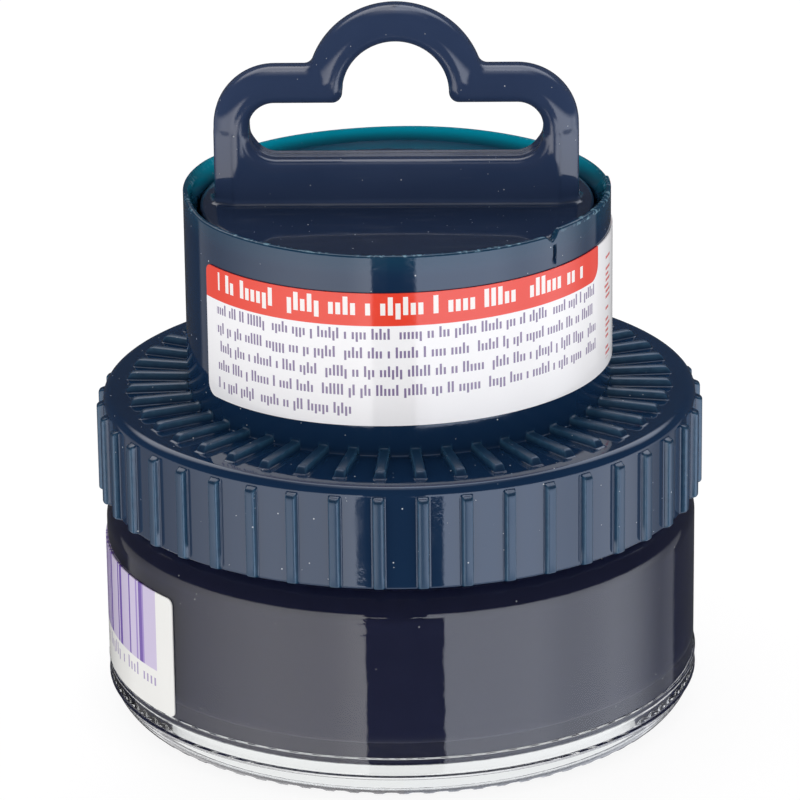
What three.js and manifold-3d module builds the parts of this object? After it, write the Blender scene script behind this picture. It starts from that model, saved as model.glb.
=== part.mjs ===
// Shoe cream jar: a screw-top glass jar whose ribbed cap carries a well with a pull-out
// sponge applicator. The applicator's hooked handle is also the hanger of the closed jar.
//
// Frame: millimetres, +Z up, origin at the centre of the jar's foot ring. The front is -Y.
// Every angle in this file is an azimuth: 0 at the front, growing towards +X.

import * as THREE from "three";
import { mergeVertices } from "three/addons/utils/BufferGeometryUtils.js";
import Module from "manifold-3d";

const wasm = await Module();
wasm.setup();

// ---------------------------------------------------------------- driving dimensions

const TURN = 2 * Math.PI;

const JAR = {
  radius: 30.55,
  shoulder: 22.3, // height of the glass shoulder that the cap's skirt comes down to
  shoulderRound: 2.65,
  mouth: 31.2,
  wall: 1.85,
  floor: 5.4, // height of the inside floor
  heelLean: 0.25, // how far the wall under the panel leans in before it turns to the foot
  heelHeight: 1.6,
  heelRound: 4.5,
  footOuter: 28.6,
  footRound: 1.2,
  footInner: 23.4,
  pushUp: 2.4, // how far the middle of the base is pushed up above the foot ring
  pushUpDraft: 0.1,
  neck: 27.6,
  throat: 25.4,
  segments: 48,
};

// The band round the jar that the label lies in. It is a little narrower than the base under it,
// and runs up into the shoulder.
const PANEL = { radius: 30.35, bottom: 4.75, segments: JAR.segments };

const THREAD = {
  pitch: 4.23,
  depth: 1.0,
  rootWidth: 1.9,
  crestWidth: 0.9,
  axialGap: 0.2, // play between the two flanks that press on each other when closed
  jarFirst: 24.2, // height of the jar thread's centre line where it starts
  jarTurns: 1.25,
  capFrom: 0.34, // turns after the jar thread's start
  capTo: 1.44,
  fade: 0.06, // turns over which each end runs out into the wall
  stepsPerTurn: 32,
};

const CREAM = { level: 27.5, gap: 0.05, segments: 24 };

const CAP = {
  bottom: 22.8,
  skirt: 30.35, // smooth radius between the ribs
  bore: 28.95,
  underside: 32.25,
  shoulder: 33.45,
  edge: 1.1, // rounding between the shoulder and the skirt
  segments: 44,
};

const RIBS = {
  count: 44,
  sideWidth: 1.15,
  sideProud: 0.7,
  sideTop: 32.5,
  sideSlope: 0.5,
  topWidth: 1.05,
  topHeight: 0.75,
  topOuter: 28.0,
  topSlope: 0.8,
};

// The cup's wall tapers on its inside to a thin lip.
const CUP = { outer: 21.65, inner: 20.25, rim: 54.2, lipInner: 21.15, taperBottom: 52.9 };

const REST_RIB = { count: 8, inner: 19.0, width: 1.2, top: 47.1 };

const LINER = { radius: 28.5, thickness: 0.94, gap: 0.05 };

const LABEL = { thickness: 0.12, gap: 0.06 };
const CUP_LABEL = { from: -61, to: 239, bottom: 36.4, top: 50.6 };
const JAR_LABEL = { from: -135, to: -49, bottom: 4.95, top: 17.7 };

const PLUG = {
  radius: 19.95,
  top: 53.2,
  plate: 1.5,
  skirtWall: 1.35,
  bottom: 47.2,
  round: 0.4,
  segments: 44,
};

const HANDLE = {
  halfWidth: 18.4,
  bar: 3.6, // width of the bar, seen from the front
  depth: 4.6,
  shoulderTop: 67.3,
  shoulderCorner: 6.2,
  archRadius: 8.95,
  archCentre: 64.7,
  fillet: 1.0,
  slotBottom: 57.75,
  slotCorner: 2.8, // radius of the slot's two lower corners
  webDepth: 4.5,
  bevel: 0.85,
  sink: 0.5, // how deep the handle's feet run into the plug, where the two are one moulding
};

const SPONGE = { radius: 18.3, bottom: 35.5, top: 51.3, round: 1.6 };
const ADHESIVE = { radius: 17.4, bottom: 51.35, top: 51.65 };
const DISC_SEGMENTS = 36;

// ---------------------------------------------------------------- geometry helpers

/** Arc points from one angle to another, both ends included. */
function arcPoints(cx, cy, radius, from, to, steps) {
  return Array.from({ length: steps + 1 }, (_, i) => {
    const a = from + ((to - from) * i) / steps;
    return new THREE.Vector2(cx + radius * Math.cos(a), cy + radius * Math.sin(a));
  });
}

/**
 * Points of an outline given by its corners [x, y, radius]. A corner with a radius becomes an
 * arc that touches both of its sides, in more steps the larger it is.
 */
function roundedOutline(corners) {
  const n = corners.length;
  return corners.flatMap(([x, y, radius = 0], i) => {
    const at = new THREE.Vector2(x, y);
    if (!radius) return [at];
    const toPrevious = new THREE.Vector2(...corners[(i + n - 1) % n]).sub(at).normalize();
    const toNext = new THREE.Vector2(...corners[(i + 1) % n]).sub(at).normalize();
    const half = Math.acos(toPrevious.dot(toNext)) / 2;
    const centre = toPrevious
      .clone()
      .add(toNext)
      .setLength(radius / Math.sin(half))
      .add(at);
    const touch = radius / Math.tan(half);
    const start = toPrevious.multiplyScalar(touch).add(at).sub(centre);
    const end = toNext.multiplyScalar(touch).add(at).sub(centre);
    const from = start.angle();
    let sweep = end.angle() - from;
    if (sweep > Math.PI) sweep -= TURN;
    if (sweep < -Math.PI) sweep += TURN;
    const steps = Math.ceil(Math.sqrt(radius) * 2);
    return arcPoints(centre.x, centre.y, radius, from, from + sweep, steps);
  });
}

/** A solid of revolution about Z from [radius, height] points that run up the outside. */
function turned(points, segments) {
  return new THREE.LatheGeometry(points, segments).rotateX(Math.PI / 2);
}

/** A plain disc with rounded edges. */
function disc({ radius, bottom, top, round = 0 }) {
  const corners = [
    [0, bottom],
    [radius, bottom, round],
    [radius, top, round],
    [0, top],
  ];
  return turned(roundedOutline(corners), DISC_SEGMENTS);
}

/** A manifold-3d solid from a closed geometry. */
function solid(geometry) {
  const bare = geometry.clone();
  bare.deleteAttribute("normal");
  bare.deleteAttribute("uv");
  const merged = mergeVertices(bare, 1e-4);
  return new wasm.Manifold(
    new wasm.Mesh({
      numProp: 3,
      vertProperties: new Float32Array(merged.attributes.position.array),
      triVerts: new Uint32Array(merged.index.array),
    }),
  );
}

/** A geometry from a manifold-3d solid. */
function geometryOf(body) {
  const { vertProperties, triVerts } = body.getMesh();
  return new THREE.BufferGeometry()
    .setAttribute("position", new THREE.BufferAttribute(vertProperties, 3))
    .setIndex(new THREE.BufferAttribute(triVerts, 1));
}

/** All the geometries joined into one solid. */
function joined(...geometries) {
  return geometries.map(solid).reduce((sum, next) => sum.add(next));
}

/** Turns a shape drawn with x outwards and y up into a bar of that section, `width` across. */
function radialBar(corners, width, azimuthDegrees) {
  return new THREE.ExtrudeGeometry(new THREE.Shape(roundedOutline(corners)), {
    depth: width,
    bevelEnabled: false,
  })
    .translate(0, 0, -width / 2)
    .rotateX(Math.PI / 2)
    .rotateZ(THREE.MathUtils.degToRad(azimuthDegrees) - Math.PI / 2);
}

/**
 * A thread ridge about Z: a straight bar of trapezoid section, bent onto the helix. Its root
 * lies at `root`, its crest `depth` further out, or further in where depth is negative. `from`
 * and `to` are in turns, and the bar is bent from its upper end down.
 */
function threadRidge({ root, depth, from, to, heightAtZero }) {
  const overlap = -Math.sign(depth) * 0.3; // the ridge starts inside the wall that it grows from
  const section = new THREE.Shape([
    new THREE.Vector2(root + overlap, -THREAD.rootWidth / 2),
    new THREE.Vector2(root, -THREAD.rootWidth / 2),
    new THREE.Vector2(root + depth, -THREAD.crestWidth / 2),
    new THREE.Vector2(root + depth, THREAD.crestWidth / 2),
    new THREE.Vector2(root, THREAD.rootWidth / 2),
    new THREE.Vector2(root + overlap, THREAD.rootWidth / 2),
  ]);
  const ridge = new THREE.ExtrudeGeometry(section, {
    depth: to - from,
    steps: Math.ceil((to - from) * THREAD.stepsPerTurn),
    bevelEnabled: false,
  });
  const place = ridge.attributes.position;
  for (let i = 0; i < place.count; i++) {
    const along = place.getZ(i);
    const turns = to - along;
    const endDistance = Math.min(along, to - from - along);
    const strength = Math.min(1, 0.15 + endDistance / THREAD.fade);
    const proud = place.getX(i) - root;
    const radius = root + (proud * depth > 0 ? proud * strength : proud);
    const height = place.getY(i) * strength + heightAtZero + THREAD.pitch * turns;
    const angle = TURN * turns;
    place.setXYZ(i, radius * Math.cos(angle), radius * Math.sin(angle), height);
  }
  return ridge;
}

/**
 * A thin sheet wrapped round a turned wall between two azimuths in degrees. It bends only where
 * the wall's own facets meet, so it lies flat on every facet.
 */
function wrappedSheet(wall, { from, to, bottom, top }) {
  const facet = 360 / wall.segments;
  const bends = [from];
  for (let a = Math.floor(from / facet + 1) * facet; a < to; a += facet) bends.push(a);
  bends.push(to);
  const inner = wall.radius + LABEL.gap;
  const alongArc = (radius) =>
    bends.map((a) => {
      const angle = THREE.MathUtils.degToRad(a - 90);
      return new THREE.Vector2(radius * Math.cos(angle), radius * Math.sin(angle));
    });
  const outline = [...alongArc(inner + LABEL.thickness), ...alongArc(inner).reverse()];
  return new THREE.ExtrudeGeometry(new THREE.Shape(outline), {
    depth: top - bottom,
    bevelEnabled: false,
  }).translate(0, 0, bottom);
}

/** A named mesh with a material of its own. */
function piece(name, geometry, color, roughness, extra = {}) {
  const material = new THREE.MeshStandardMaterial({ color, roughness, metalness: 0, ...extra });
  const mesh = new THREE.Mesh(geometry, material);
  mesh.name = name;
  return mesh;
}

// ---------------------------------------------------------------- glass jar and its fill

function glassJar() {
  const inside = JAR.radius - JAR.wall;
  const profile = roundedOutline([
    [0, JAR.pushUp],
    [JAR.footInner - JAR.pushUpDraft, JAR.pushUp],
    [JAR.footInner, 0],
    [JAR.footOuter, 0, JAR.footRound],
    [JAR.radius - JAR.heelLean, JAR.heelHeight, JAR.heelRound],
    [JAR.radius, PANEL.bottom],
    [PANEL.radius, PANEL.bottom],
    [PANEL.radius, JAR.shoulder, JAR.shoulderRound],
    [JAR.neck, JAR.shoulder, 0.2],
    [JAR.neck, JAR.mouth, 0.7],
    [JAR.throat, JAR.mouth, 0.7],
    [JAR.throat, JAR.shoulder - 1.2, 1],
    [inside, JAR.shoulder - 3.4, 1],
    [inside, JAR.floor, 2.4],
    [0, JAR.floor],
  ]);
  const thread = threadRidge({
    root: JAR.neck,
    depth: THREAD.depth,
    from: 0,
    to: THREAD.jarTurns,
    heightAtZero: THREAD.jarFirst,
  });
  return geometryOf(joined(turned(profile, JAR.segments), thread));
}

function shoeCream() {
  const radius = JAR.radius - JAR.wall - CREAM.gap;
  const throat = JAR.throat - CREAM.gap;
  const profile = roundedOutline([
    [0, JAR.floor + CREAM.gap],
    [radius, JAR.floor + CREAM.gap, 2.4],
    [radius, JAR.shoulder - 3.4 - CREAM.gap, 1],
    [throat, JAR.shoulder - 1.2 - CREAM.gap, 1],
    [throat, CREAM.level],
    [0, CREAM.level],
  ]);
  return turned(profile, CREAM.segments);
}

// ---------------------------------------------------------------- cap

/** The cap's shell: skirt, shoulder, the cup that stands on it and the well inside. */
function capShell() {
  return turned(
    roundedOutline([
      [0, CAP.underside],
      [CAP.bore, CAP.underside],
      [CAP.bore, CAP.bottom, 0.3],
      [CAP.skirt, CAP.bottom, 0.3],
      [CAP.skirt, CAP.shoulder, CAP.edge],
      [CUP.outer, CAP.shoulder],
      [CUP.outer, CUP.rim],
      [CUP.lipInner, CUP.rim],
      [CUP.inner, CUP.taperBottom],
      [CUP.inner, CAP.shoulder, 1],
      [0, CAP.shoulder],
    ]),
    CAP.segments,
  );
}

/** One vertical grip rib on the skirt. */
function sideRib(azimuth) {
  const inner = CAP.bore + 0.6;
  const outer = CAP.skirt + RIBS.sideProud;
  const corners = [
    [inner, CAP.bottom + 0.05],
    [outer, CAP.bottom + 0.05],
    [outer, RIBS.sideTop - RIBS.sideSlope],
    [CAP.skirt - 0.1, RIBS.sideTop],
    [inner, RIBS.sideTop],
  ];
  return radialBar(corners, RIBS.sideWidth, azimuth);
}

/** One radial rib on the shoulder, from the cup's wall outwards. */
function shoulderRib(azimuth) {
  const top = CAP.shoulder + RIBS.topHeight;
  const root = CAP.shoulder - 0.5;
  const corners = [
    [CUP.outer - 0.6, root],
    [RIBS.topOuter, root],
    [RIBS.topOuter, CAP.shoulder],
    [RIBS.topOuter - RIBS.topSlope, top],
    [CUP.outer - 0.6, top],
  ];
  return radialBar(corners, RIBS.topWidth, azimuth);
}

/** One upright rib inside the well, on which the applicator's plug comes to rest. */
function restRib(azimuth) {
  const corners = [
    [REST_RIB.inner, CAP.shoulder - 0.5],
    [CUP.inner + 0.5, CAP.shoulder - 0.5],
    [CUP.inner + 0.5, REST_RIB.top],
    [REST_RIB.inner, REST_RIB.top],
  ];
  return radialBar(corners, REST_RIB.width, azimuth);
}

function screwCap() {
  const pitch = 360 / RIBS.count;
  const azimuths = Array.from({ length: RIBS.count }, (_, i) => (i + 0.5) * pitch);
  const restAzimuths = Array.from({ length: REST_RIB.count }, (_, i) => (i * 360) / REST_RIB.count);
  const flankOffset = (THREAD.rootWidth + THREAD.crestWidth) / 2 + THREAD.axialGap;
  const thread = threadRidge({
    root: CAP.bore,
    depth: -THREAD.depth,
    from: THREAD.capFrom,
    to: THREAD.capTo,
    heightAtZero: THREAD.jarFirst - flankOffset,
  });
  return geometryOf(
    joined(
      capShell(),
      ...azimuths.map(sideRib),
      ...azimuths.map(shoulderRib),
      ...restAzimuths.map(restRib),
      thread,
    ),
  );
}

function capLiner() {
  const bottom = JAR.mouth + LINER.gap;
  return disc({ radius: LINER.radius, bottom, top: bottom + LINER.thickness });
}

// ---------------------------------------------------------------- applicator

/** The shallow plug that closes the well: a plate with a short skirt, open below. */
function plugBody() {
  const under = PLUG.top - PLUG.plate;
  const skirtInner = PLUG.radius - PLUG.skirtWall;
  return turned(
    roundedOutline([
      [0, under],
      [skirtInner, under],
      [skirtInner, PLUG.bottom],
      [PLUG.radius, PLUG.bottom, PLUG.round],
      [PLUG.radius, PLUG.top, PLUG.round],
      [0, PLUG.top],
    ]),
    PLUG.segments,
  );
}

/**
 * The right half of a cloud-shaped line, from the foot of the leg to the top of the arch: a leg,
 * a rounded shoulder, a small fillet and the arch. `grow` moves the line outwards from the slot.
 */
function cloudHalf(grow) {
  const legX = HANDLE.halfWidth - HANDLE.bar + grow;
  const shoulderZ = HANDLE.shoulderTop - HANDLE.bar + grow;
  const corner = HANDLE.shoulderCorner - HANDLE.bar + grow;
  const arch = HANDLE.archRadius - HANDLE.bar + grow;
  const filletZ = shoulderZ + HANDLE.fillet;
  const reach = arch + HANDLE.fillet;
  const filletX = Math.sqrt(reach ** 2 - (filletZ - HANDLE.archCentre) ** 2);
  const meet = Math.atan2(filletZ - HANDLE.archCentre, filletX);
  return [
    new THREE.Vector2(legX, PLUG.top - HANDLE.sink),
    ...arcPoints(legX - corner, shoulderZ - corner, corner, 0, Math.PI / 2, 6),
    ...arcPoints(filletX, filletZ, HANDLE.fillet, -Math.PI / 2, meet - Math.PI, 3),
    ...arcPoints(0, HANDLE.archCentre, arch, meet, Math.PI / 2, 9).slice(1),
  ];
}

/** A half outline followed by its mirror image, from the right foot to the left one. */
function bothHalves(half) {
  const mirrored = half.map(({ x, y }) => new THREE.Vector2(-x, y)).reverse();
  return [...half, ...mirrored.slice(1)];
}

/** The hooked hanger, standing in the XZ plane. */
function hanger() {
  const outside = bothHalves(cloudHalf(HANDLE.bar));
  const inside = bothHalves(cloudHalf(0)).reverse();
  return new THREE.ExtrudeGeometry(new THREE.Shape([...outside, ...inside]), {
    depth: HANDLE.depth - 2 * HANDLE.bevel,
    bevelThickness: HANDLE.bevel,
    bevelSize: HANDLE.bevel,
    bevelOffset: -HANDLE.bevel,
    bevelSegments: 2,
  })
    .translate(0, 0, HANDLE.bevel - HANDLE.depth / 2)
    .rotateX(Math.PI / 2);
}

/** The low wall between the hanger's legs. Its top curves up into them at the slot's corners. */
function web() {
  const slotEdge = HANDLE.halfWidth - HANDLE.bar;
  const outer = slotEdge + HANDLE.bar / 2;
  const corner = HANDLE.slotCorner;
  const arc = arcPoints(
    slotEdge - corner,
    HANDLE.slotBottom + corner,
    corner,
    0,
    -Math.PI / 2,
    4,
  );
  const half = [
    new THREE.Vector2(outer, PLUG.top - HANDLE.sink),
    new THREE.Vector2(outer, HANDLE.slotBottom + corner),
    ...arc,
  ];
  const mirrored = half.map(({ x, y }) => new THREE.Vector2(-x, y)).reverse();
  return new THREE.ExtrudeGeometry(new THREE.Shape([...half, ...mirrored]), {
    depth: HANDLE.webDepth,
    bevelEnabled: false,
  })
    .translate(0, 0, -HANDLE.webDepth / 2)
    .rotateX(Math.PI / 2);
}

function applicatorHandle() {
  return geometryOf(joined(plugBody(), hanger(), web()));
}

// ---------------------------------------------------------------- assembly

const NAVY_PLASTIC = 0x1b3454;
const NAVY_CREAM = 0x22243a;
const PAPER = 0xebebee;

const jar = new THREE.Group();
jar.add(
  piece("glass_jar", glassJar(), 0xdfe6e4, 0.05, { transparent: true, opacity: 0.35 }),
  piece("shoe_cream", shoeCream(), NAVY_CREAM, 0.45),
  piece("jar_label", wrappedSheet(PANEL, JAR_LABEL), PAPER, 0.4),
);

const cupWall = { radius: CUP.outer, segments: CAP.segments };
const cap = new THREE.Group();
cap.add(
  piece("cap_liner", capLiner(), 0xe9e9e4, 0.7),
  piece("screw_cap", screwCap(), NAVY_PLASTIC, 0.25),
  piece("cup_label", wrappedSheet(cupWall, CUP_LABEL), PAPER, 0.35),
);

const applicator = new THREE.Group();
applicator.add(
  piece("applicator_handle", applicatorHandle(), NAVY_PLASTIC, 0.25),
  piece("pad_adhesive", disc(ADHESIVE), 0xf2f0e6, 0.6),
  piece("sponge_pad", disc(SPONGE), 0x2b2b30, 0.95),
);

const shoeCreamJar = new THREE.Group();
shoeCreamJar.add(jar, cap, applicator);

export default shoeCreamJar;
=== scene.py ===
"""Looks of a screw-top jar of shoe cream, whose ribbed cap holds a pull-out sponge applicator.

Shapes are worked out in millimetres and scaled to metres once, in new_piece. The frame is the
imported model's: +Z up along the jar's axis, -Y to the front. An azimuth is 0 at the front and
grows towards +X.
"""

import math

import bmesh
import bpy
import numpy as np
from mathutils import Matrix, Vector


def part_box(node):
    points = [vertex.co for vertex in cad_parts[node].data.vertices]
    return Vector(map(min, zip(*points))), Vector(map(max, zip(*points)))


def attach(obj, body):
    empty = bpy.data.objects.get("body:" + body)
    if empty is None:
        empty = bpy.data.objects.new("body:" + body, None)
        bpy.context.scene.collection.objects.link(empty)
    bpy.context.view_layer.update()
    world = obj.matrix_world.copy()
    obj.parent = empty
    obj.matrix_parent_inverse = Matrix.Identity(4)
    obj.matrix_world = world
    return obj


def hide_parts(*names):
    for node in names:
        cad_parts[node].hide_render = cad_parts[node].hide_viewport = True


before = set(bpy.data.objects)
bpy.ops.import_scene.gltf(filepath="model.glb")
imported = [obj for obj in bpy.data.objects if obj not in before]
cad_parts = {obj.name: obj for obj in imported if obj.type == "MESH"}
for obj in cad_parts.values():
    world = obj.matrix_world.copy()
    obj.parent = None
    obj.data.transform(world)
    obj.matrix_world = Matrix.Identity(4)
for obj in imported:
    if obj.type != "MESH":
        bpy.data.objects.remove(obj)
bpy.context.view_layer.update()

MM = 0.001
TURN = 2 * math.pi
HAIR = 1e-6  # shorter lengths, in millimetres, count as none


def box_mm(node):
    """Lowest and highest corner of a CAD node, in millimetres."""
    low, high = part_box(node)
    return low / MM, high / MM


# ------------------------------------------------------------------ driving sizes, millimetres

JAR_HIGH = box_mm("glass_jar")[1]
CREAM_LOW, CREAM_HIGH = box_mm("shoe_cream")
JAR_LABEL_LOW, JAR_LABEL_HIGH = box_mm("jar_label")
LINER_LOW, LINER_HIGH = box_mm("cap_liner")
CAP_LOW, CAP_HIGH = box_mm("screw_cap")
HANDLE_LOW, HANDLE_HIGH = box_mm("applicator_handle")
TAPE_LOW, TAPE_HIGH = box_mm("pad_adhesive")
SPONGE_LOW, SPONGE_HIGH = box_mm("sponge_pad")

JAR_RADIUS = JAR_HIGH.x
JAR_WALL = 1.85
JAR_FLOOR = CREAM_LOW.z - 0.05
JAR_FLOOR_ROUND = 2.4
GLASS_SHOULDER = 22.3
GLASS_SHOULDER_ROUND = 2.65
NECK = 27.6
THROAT = 25.4
THROAT_SLOPE = (1.2, 3.4)
HEEL_LEAN = 0.25
HEEL_HEIGHT = 1.6
HEEL_ROUND = 4.5
FOOT_OUTER = 28.6
FOOT_ROUND = 1.2
FOOT_INNER = 23.4
PUSH_UP = 2.4
PUSH_UP_DRAFT = 0.1
PANEL_BOTTOM = 4.75
PANEL_RADIUS = 30.35
SEAM = 2.7
SEAM_BULGE = 0.2
SEAM_WIDTH = 0.17
FOOT_KNURLS = 72
KNURL_DEPTH = 0.4
JAR_COLUMNS = 6 * FOOT_KNURLS

PITCH = 4.23
THREAD_DEPTH = 1.0
THREAD_ROOT = 1.9
THREAD_CREST = 0.9
THREAD_FADE = 0.06
JAR_THREAD = {"start": 24.2, "first": 0.0, "last": 1.25}
CAP_THREAD = {"start": 22.6, "first": 0.34, "last": 1.44}

SKIRT = 30.35
BORE = 28.95
UNDERSIDE = LINER_HIGH.z + 0.06
SHOULDER = 33.45
SHOULDER_EDGE = 1.1
CUP = 21.65
WELL = 20.25
LIP = 21.2
TAPER_BOTTOM = 52.9
RIM = CAP_HIGH.z
RIB_COUNT = 44
SIDE_RIB = 0.7
SIDE_RIB_HALF = 0.575
SIDE_RIB_TOP = 32.45
TOP_RIB = 0.75
TOP_RIB_HALF = 0.6
TOP_RIB_END = 28.05
REST_RIBS = 8
REST_RIB = 1.25
REST_RIB_TOP = 47.1
NOTCH_AZIMUTH = 44.8
SLIT_AZIMUTH = 45.9

PLUG = 19.95
PLUG_TOP = 53.2
HANDLE_HALF = 18.4
BAR = 3.6
HALF_DEPTH = 2.3
SHOULDER_TOP = 67.3
SHOULDER_CORNER = 6.2
ARCH_RADIUS = 8.95
ARCH_CENTRE = HANDLE_HIGH.z - ARCH_RADIUS
FILLET = 1.0
SLOT_BOTTOM = 57.75
SLOT_CORNER = 2.8
WITNESS = 60.6
FOOT_FILLET = 0.65
HANDLE_YAW = -1.3

LABEL_GAP = 0.05
LABEL_THICKNESS = 0.12
CUP_LABEL_ENDS = (-61, 239)
JAR_LABEL_ENDS = (-135, -49)


# ------------------------------------------------------------------ lines and grids

def unit(vector):
    return vector / np.linalg.norm(vector)


def rounded_line(corners, step=9.0):
    """Points of an open line given by corners (x, y) or (x, y, radius), rounded where asked."""
    points = []
    for i, (x, y, *rest) in enumerate(corners):
        here = np.array([x, y], float)
        if not rest or not rest[0]:
            points.append(here)
            continue
        radius = rest[0]
        before = unit(np.array(corners[i - 1][:2]) - here)
        after = unit(np.array(corners[i + 1][:2]) - here)
        half = math.acos(np.clip(before @ after, -1, 1)) / 2
        centre = here + unit(before + after) * radius / math.sin(half)
        start = here + before * radius / math.tan(half) - centre
        end = here + after * radius / math.tan(half) - centre
        first = math.atan2(start[1], start[0])
        sweep = math.atan2(start[0] * end[1] - start[1] * end[0], start @ end)
        steps = max(2, math.ceil(abs(math.degrees(sweep)) / step))
        for k in range(steps + 1):
            angle = first + sweep * k / steps
            points.append(centre + radius * np.array([math.cos(angle), math.sin(angle)]))
    return np.array(points)


def subdivided(points, longest):
    """The same line with no stretch longer than `longest` and no point twice."""
    out = [points[0]]
    for a, b in zip(points[:-1], points[1:]):
        length = np.linalg.norm(b - a)
        parts = math.ceil(length / longest) if length > HAIR else 0
        out += [a + (b - a) * k / parts for k in range(1, parts + 1)]
    return np.array(out)


def smooth(value, low, high):
    """0 below low, 1 above high, with a smooth rise between."""
    t = np.clip((value - low) / (high - low), 0, 1)
    return t * t * (3 - 2 * t)


def azimuths(columns):
    return np.arange(columns) * TURN / columns


def ring(radius, height, angle):
    """Points round the axis; radius and height may be numbers or one value a column. A radius
    of 0 gives the one point on the axis."""
    if np.ndim(radius) == 0 and radius < HAIR:
        return np.array([[0, 0, height]])
    whole = np.zeros(len(angle))
    return np.column_stack(
        [(radius + whole) * np.sin(angle), -(radius + whole) * np.cos(angle), height + whole]
    )


def skin(rows, around=True, ends=False):
    """Vertices and faces of a sheet through rows of points. A row of one point is a pole.
    `around` joins each row's end to its start; `ends` closes the first and last row."""
    verts = np.concatenate(rows)
    starts = np.cumsum([0] + [len(row) for row in rows])
    faces = []
    for a, b, low, high in zip(starts, starts[1:], rows[:-1], rows[1:]):
        count = max(len(low), len(high))
        for j in range(count if around else count - 1):
            k = (j + 1) % count
            if len(low) == 1:
                faces.append((a, b + k, b + j))
            elif len(high) == 1:
                faces.append((a + j, a + k, b))
            else:
                faces.append((a + j, a + k, b + k, b + j))
    if ends:
        faces.append(tuple(range(starts[0], starts[1])))
        faces.append(tuple(reversed(range(starts[-2], starts[-1]))))
    return verts, faces


def new_piece(name, verts, faces, sharp=35, attributes=None):
    """A smooth-shaded mesh object from millimetre points, with its faces pointing out."""
    mesh = bpy.data.meshes.new(name)
    mesh.from_pydata((np.asarray(verts) * MM).tolist(), [], faces)
    for label, values in (attributes or {}).items():
        layer = mesh.attributes.new(label, "FLOAT", "POINT")
        layer.data.foreach_set("value", np.asarray(values, np.float32))
    work = bmesh.new()
    work.from_mesh(mesh)
    bmesh.ops.recalc_face_normals(work, faces=work.faces)
    work.to_mesh(mesh)
    work.free()
    mesh.shade_smooth()
    mesh.set_sharp_from_angle(angle=math.radians(sharp))
    piece = bpy.data.objects.new(name, mesh)
    bpy.context.scene.collection.objects.link(piece)
    return piece


def lathe(profile, columns):
    """Rows of points for a profile of (radius, height) turned about the axis, where a radius
    may also be one value a column."""
    angle = azimuths(columns)
    return [ring(radius, height, angle) for radius, height in profile]


def place(piece, material, body, node, slot):
    """Gives a piece its material, and makes it ride on a body and stand for a CAD node."""
    piece.data.materials.append(material)
    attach(piece, body)
    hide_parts(node)
    return piece


def thread_relief(angle, height, thread):
    """How far a thread stands proud at places on its wall, as a share of its depth."""
    relief = np.zeros(np.broadcast(angle, height).shape)
    for whole in (-1, 0, 1, 2):
        turns = (angle - math.pi / 2) / TURN + whole
        distance = np.abs(height - thread["start"] - PITCH * turns)
        flank = np.clip((THREAD_ROOT / 2 - distance) / ((THREAD_ROOT - THREAD_CREST) / 2), 0, 1)
        run = np.minimum(turns - thread["first"], thread["last"] - turns) / THREAD_FADE
        relief = np.maximum(relief, flank * np.clip(run, 0, 1))
    return relief


# ------------------------------------------------------------------ node trees by arithmetic

class Field:
    """A value in a node tree. Arithmetic on it adds the nodes that work it out."""

    def __init__(self, tree, output):
        self.tree = tree
        self.output = output

    def math(self, operation, *others):
        node = self.tree.nodes.new("ShaderNodeMath")
        node.operation = operation
        feed(self.tree, node.inputs, (self, *others))
        return Field(self.tree, node.outputs[0])

    def __add__(self, other):
        return self.math("ADD", other)

    def __sub__(self, other):
        return self.math("SUBTRACT", other)

    def __rsub__(self, other):
        return (self * -1.0) + other

    def __mul__(self, other):
        return self.math("MULTIPLY", other)

    def __truediv__(self, other):
        return self.math("DIVIDE", other)

    __radd__ = __add__
    __rmul__ = __mul__

    def abs(self):
        return self.math("ABSOLUTE")

    def floor(self):
        return self.math("FLOOR")

    def fraction(self):
        return self.math("FRACT")

    def above(self, limit):
        return self.math("GREATER_THAN", limit)

    def below(self, limit):
        return self.math("LESS_THAN", limit)

    def within(self, first, last):
        return self.above(first) * self.below(last)

    def most(self, other):
        return self.math("MAXIMUM", other)

    def rise(self, low, high):
        """0 at low, 1 at high, smooth between; low may be the larger one."""
        node = self.tree.nodes.new("ShaderNodeMapRange")
        node.interpolation_type = "SMOOTHSTEP"
        feed(self.tree, node.inputs, (self, low, high))
        return Field(self.tree, node.outputs[0])

    def mix(self, first, second):
        """A colour that goes from first to second as this value goes from 0 to 1."""
        node = self.tree.nodes.new("ShaderNodeMixRGB")
        feed(self.tree, node.inputs, (self, first, second))
        return Field(self.tree, node.outputs[0])


def feed(tree, inputs, values):
    """Sets or links a node's inputs, by place or by name."""
    pairs = values.items() if isinstance(values, dict) else enumerate(values)
    for key, value in pairs:
        if isinstance(value, Field):
            tree.links.new(value.output, inputs[key])
        elif isinstance(value, tuple) and len(value) == 3 and inputs[key].type == "RGBA":
            inputs[key].default_value = (*value, 1)
        else:
            inputs[key].default_value = value


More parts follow.
